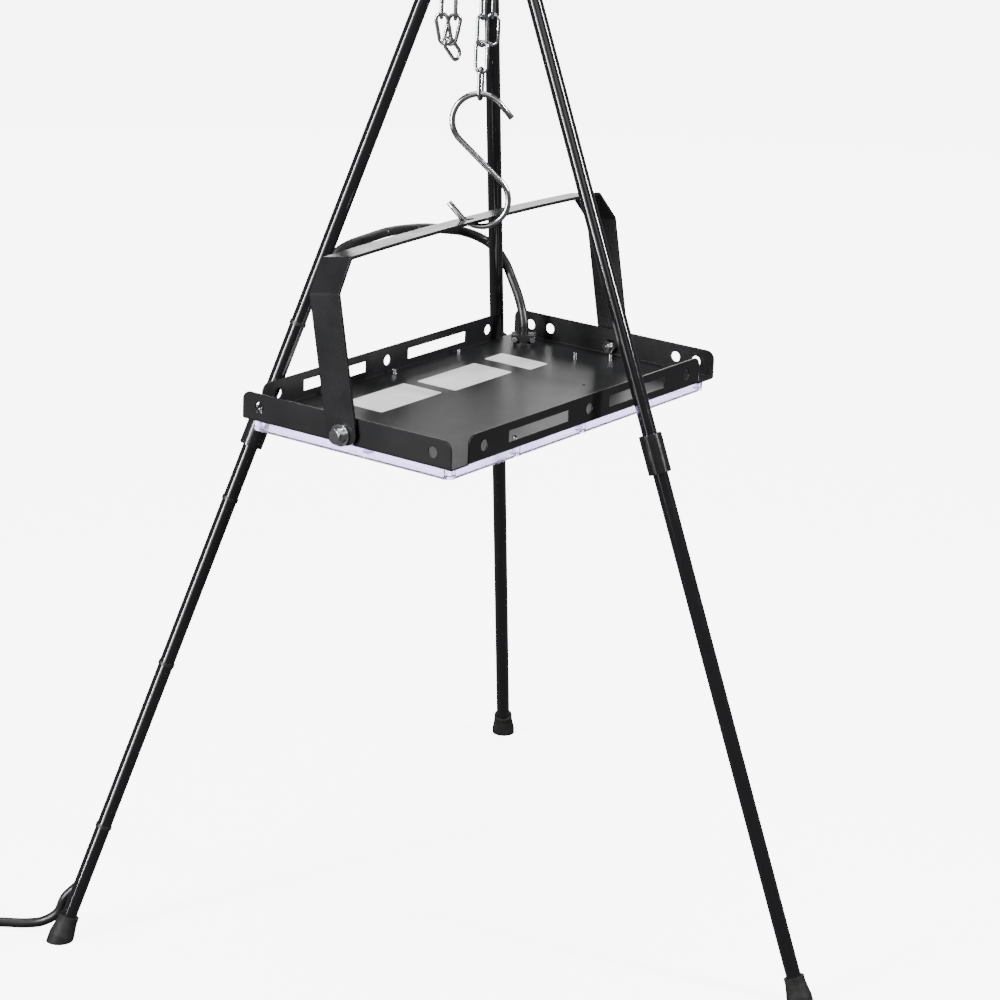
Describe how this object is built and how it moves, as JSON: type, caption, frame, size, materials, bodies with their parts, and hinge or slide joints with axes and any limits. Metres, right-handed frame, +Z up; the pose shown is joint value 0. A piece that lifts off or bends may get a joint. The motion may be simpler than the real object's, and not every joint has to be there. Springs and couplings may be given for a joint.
{
  "type": "screen printing exposure unit",
  "caption": "Rectangular ultraviolet lamp in a folded black tray, hung by a flat bracket, S-hook and chain from a three-legged tube tripod, for exposing printing screens laid below",
  "frame": {"origin": "On the floor under the middle of the bounding box, without the cord on the floor", "axes": "+Z up, X along the lamp's long side, +Y from the single leg toward the pair of legs"},
  "size_m": [1.0599, 0.8237, 1.0688],
  "materials": {
    "black_steel": "semi-gloss black paint",
    "bright_steel": "bright plated",
    "foot_rubber": "matte moulded",
    "cord_rubber": "satin",
    "tie_plastic": "moulded",
    "board_white": "white solder mask",
    "chip_resin": "clear resin over chips",
    "clear_plastic": "clear polycarbonate",
    "pin_metal": "plated"
  },
  "bodies": {
    "hub": {"hub_plate": "black_steel", "hub_pivot_bolts": "bright_steel", "hub_pivot_nuts": "bright_steel", "chain_eye": "bright_steel", "chain_eye_nut": "bright_steel", "slack_eye": "bright_steel", "slack_eye_nut": "bright_steel", "tail_eye": "bright_steel", "tail_eye_nut": "bright_steel"},
    "leg_left": {"leg_left_eye": "black_steel", "leg_left_upper_tube": "black_steel", "leg_left_sleeve": "black_steel", "leg_left_lower_tube": "black_steel", "leg_left_foot": "foot_rubber", "cord_leg": "cord_rubber", "leg_cord_ties": "tie_plastic", "cord_coil": "cord_rubber", "coil_tie": "tie_plastic", "cord_plug": "cord_rubber", "plug_pins": "pin_metal"},
    "leg_right": {"leg_right_eye": "black_steel", "leg_right_upper_tube": "black_steel", "leg_right_sleeve": "black_steel", "leg_right_lower_tube": "black_steel", "leg_right_foot": "foot_rubber"},
    "leg_rear": {"leg_rear_eye": "black_steel", "leg_rear_upper_tube": "black_steel", "leg_rear_sleeve": "black_steel", "leg_rear_lower_tube": "black_steel", "leg_rear_foot": "foot_rubber"},
    "chain": {"load_chain": "bright_steel"},
    "hook": {"s_hook": "bright_steel"},
    "bracket": {"yoke": "black_steel"},
    "lamp": {"lamp_tray": "black_steel", "pivot_bolts": "bright_steel", "pivot_washers": "bright_steel", "pivot_spring_washers": "bright_steel", "pivot_spacers": "tie_plastic", "pivot_nuts": "bright_steel", "led_board": "board_white", "led_chips": "chip_resin", "driver_parts": "tie_plastic", "cover_gasket": "foot_rubber", "clear_cover": "clear_plastic", "cover_screws": "bright_steel", "board_screws": "bright_steel", "clamp_body": "tie_plastic", "clamp_bar": "tie_plastic", "clamp_screws": "bright_steel", "clamp_lock_nut": "bright_steel", "cord_free": "cord_rubber"},
    "spare_chain": {"slack_chain": "bright_steel"},
    "tail_end": {"tail_chain": "bright_steel"}
  },
  "joints": [
    {"name": "leg_left_spread", "type": "hinge", "parent": "hub", "child": "leg_left", "pos_m": [-0.02165, 0.12136, 1.04418], "axis": [0.5, 0.866, 0], "range_deg": [0, 18]},
    {"name": "leg_right_spread", "type": "hinge", "parent": "hub", "child": "leg_right", "pos_m": [0, 0.08386, 1.04418], "axis": [-1, 0, 0], "range_deg": [0, 18]},
    {"name": "leg_rear_spread", "type": "hinge", "parent": "hub", "child": "leg_rear", "pos_m": [0.02165, 0.12136, 1.04418], "axis": [0.5, -0.866, 0], "range_deg": [0, 18]},
    {"name": "chain_swing", "type": "hinge", "parent": "hub", "child": "chain", "pos_m": [0, 0.10886, 1.00517], "axis": [1, 0, 0], "range_deg": [-1, 0]},
    {"name": "hook_swing", "type": "hinge", "parent": "chain", "child": "hook", "pos_m": [-0.00936, 0.10226, 0.84899], "axis": [1, 0, 0], "range_deg": [-1, 0]},
    {"name": "yoke_rock", "type": "hinge", "parent": "hook", "child": "bracket", "pos_m": [-0.01373, 0.0928, 0.72419], "axis": [1, 0, 0], "range_deg": [-1.5, 0]},
    {"name": "lamp_tilt", "type": "hinge", "parent": "bracket", "child": "lamp", "pos_m": [-0.022, 0.07386, 0.56023], "axis": [1, 0, 0], "range_deg": [-90, 0], "deforming": ["cord_free"]},
    {"name": "slack_swing", "type": "hinge", "parent": "hub", "child": "spare_chain", "pos_m": [-0.01058, 0.14333, 1.00018], "axis": [0.5948, -0.8039, 0], "range_deg": [-10, 10]},
    {"name": "tail_swing", "type": "hinge", "parent": "hub", "child": "tail_end", "pos_m": [0.01559, 0.10796, 0.97718], "axis": [0.5948, -0.8039, 0], "range_deg": [-4, 4]}
  ]
}
